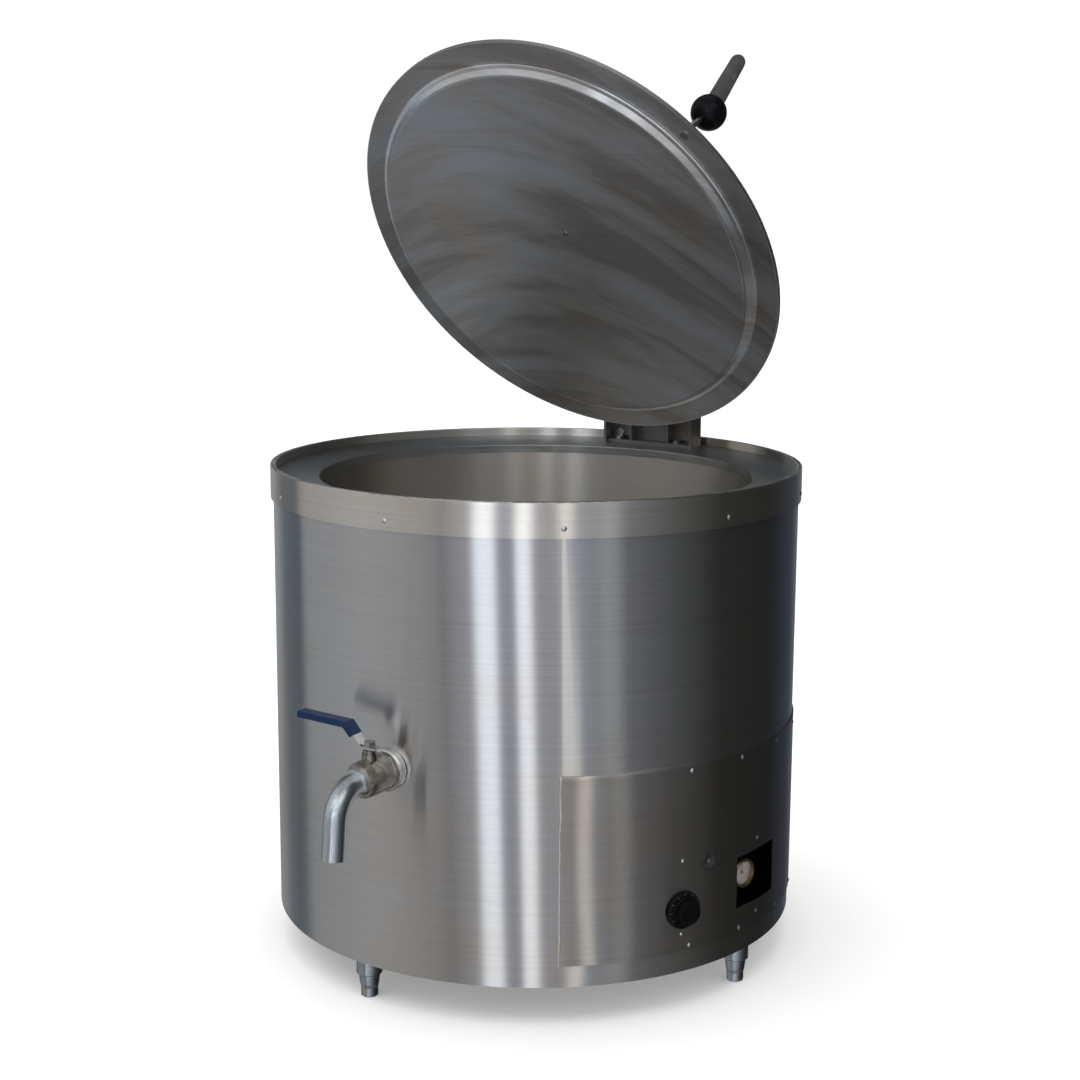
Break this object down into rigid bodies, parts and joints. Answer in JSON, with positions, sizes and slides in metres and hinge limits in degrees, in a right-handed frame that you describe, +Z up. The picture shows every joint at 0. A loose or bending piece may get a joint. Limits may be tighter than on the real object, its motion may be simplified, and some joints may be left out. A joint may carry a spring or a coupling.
{
  "type": "steam jacketed kettle",
  "caption": "Floor standing cylindrical steam jacketed kettle with a hinged lid, a draw-off ball valve and spout, adjustable feet and a riveted control panel.",
  "frame": {"origin": "on the body axis at floor level, the centre of the circle of feet", "axes": "+Z up the body axis; -Y towards the draw-off side, with the valve a few degrees round from it; +Y towards the lid hinge; +X towards the control panel"},
  "size_m": [0.8589, 1.0108, 1.4423],
  "materials": {
    "steel_shell": "brushed stainless sheet",
    "steel_rim": "brushed stainless sheet",
    "steel_vessel": "fine brushed stainless",
    "steel_lid": "brushed stainless sheet",
    "steel_plain": "mill finish stainless",
    "steel_bright": "polished stainless",
    "zinc": "galvanised steel",
    "nickel": "nickel plated",
    "brass": "machined brass",
    "black_phenolic": "moulded black",
    "grip_grey": "moulded grip",
    "blue_vinyl": "dipped vinyl sleeve",
    "wool": "mineral wool blanket",
    "black_plastic": "moulded black",
    "grey_plastic": "moulded grey",
    "cable": "cable sheath",
    "seat_white": "fluoropolymer seat",
    "lens_clear": "tinted lamp lens",
    "dial_white": "printed white dial",
    "clear_glass": "clear",
    "needle_red": "painted"
  },
  "bodies": {
    "kettle": {"base_plate": "steel_plain", "bracket_and_flange_bolts": "steel_bright", "cable_gland": "black_plastic", "component_plate": "zinc", "contactor": "grey_plastic", "control_panel_cover": "steel_shell", "deck_ring": "steel_rim", "element_flange": "steel_plain", "element_terminal_cap": "black_plastic", "gauge_case": "brass", "gauge_dial": "dial_white", "gauge_glass": "clear_glass", "gauge_manifold": "brass", "heating_elements": "steel_plain", "hinge_bracket": "steel_plain", "hinge_bushes": "steel_plain", "hinge_pin": "steel_bright", "inner_vessel": "steel_vessel", "insulation": "wool", "lamp_body": "black_plastic", "lamp_lens": "lens_clear", "leg_tubes": "zinc", "low_water_probe": "steel_plain", "outer_shell": "steel_shell", "outlet_collar": "steel_bright", "outlet_pipe": "steel_plain", "panel_screws": "steel_bright", "rim_band": "steel_rim", "rim_rivets": "steel_bright", "safety_valve_body": "brass", "spout": "zinc", "steam_jacket": "steel_plain", "terminal_block": "grey_plastic", "thermostat_body": "grey_plastic", "thermostat_bulb": "brass", "valve_body": "nickel", "valve_gland_nut": "nickel", "valve_seats": "seat_white", "vessel_dished_end": "steel_vessel", "wiring_loom": "cable"},
    "lid": {"lid_ball_knob": "black_phenolic", "lid_fasteners": "steel_bright", "lid_grip_bar": "grip_grey", "lid_hinge_leaf": "steel_plain", "lid_insulation": "wool", "lid_knob_stud": "steel_bright", "lid_top_skin": "steel_lid", "lid_under_pan": "steel_lid"},
    "valve_lever": {"valve_lever": "steel_bright", "lever_sleeve": "blue_vinyl", "lever_nut": "zinc", "valve_stem": "nickel", "valve_ball": "steel_bright"},
    "thermostat_knob": {"thermostat_knob": "black_plastic"},
    "gauge_needle": {"gauge_needle": "needle_red"},
    "safety_valve_knob": {"safety_valve_knob": "brass"},
    "foot_1": {"foot_1": "zinc"},
    "foot_2": {"foot_2": "zinc"},
    "foot_3": {"foot_3": "zinc"},
    "foot_4": {"foot_4": "zinc"}
  },
  "joints": [
    {"name": "lid_hinge", "type": "hinge", "parent": "kettle", "child": "lid", "pos_m": [0, 0.377, 0.874], "axis": [-1, 0, 0], "range_deg": [-55.8, 30]},
    {"name": "valve_lever_turn", "type": "hinge", "parent": "kettle", "child": "valve_lever", "pos_m": [0.03375, -0.47079, 0.42], "axis": [0, 0, 1], "range_deg": [0, 90]},
    {"name": "thermostat_turn", "type": "hinge", "parent": "kettle", "child": "thermostat_knob", "pos_m": [0.39167, -0.17356, 0.159], "axis": [-0.9143, 0.4051, 0], "range_deg": [0, 270]},
    {"name": "gauge_needle_turn", "type": "hinge", "parent": "kettle", "child": "gauge_needle", "pos_m": [0.39738, -0.00186, 0.167], "axis": [-0.9724, 0.2334, 0], "range_deg": [-135, 135], "stiffness_Nm_per_rad": 0.002},
    {"name": "safety_valve_lift", "type": "slide", "parent": "kettle", "child": "safety_valve_knob", "axis": [0, 0, 1], "range_m": [0, 0.003], "stiffness_N_per_m": 1500, "springref_m": -0.002},
    {"name": "foot_1_level", "type": "slide", "parent": "kettle", "child": "foot_1", "axis": [0, 0, -1], "range_m": [0, 0.025]},
    {"name": "foot_2_level", "type": "slide", "parent": "kettle", "child": "foot_2", "axis": [0, 0, -1], "range_m": [0, 0.025]},
    {"name": "foot_3_level", "type": "slide", "parent": "kettle", "child": "foot_3", "axis": [0, 0, -1], "range_m": [0, 0.025]},
    {"name": "foot_4_level", "type": "slide", "parent": "kettle", "child": "foot_4", "axis": [0, 0, -1], "range_m": [0, 0.025]}
  ]
}
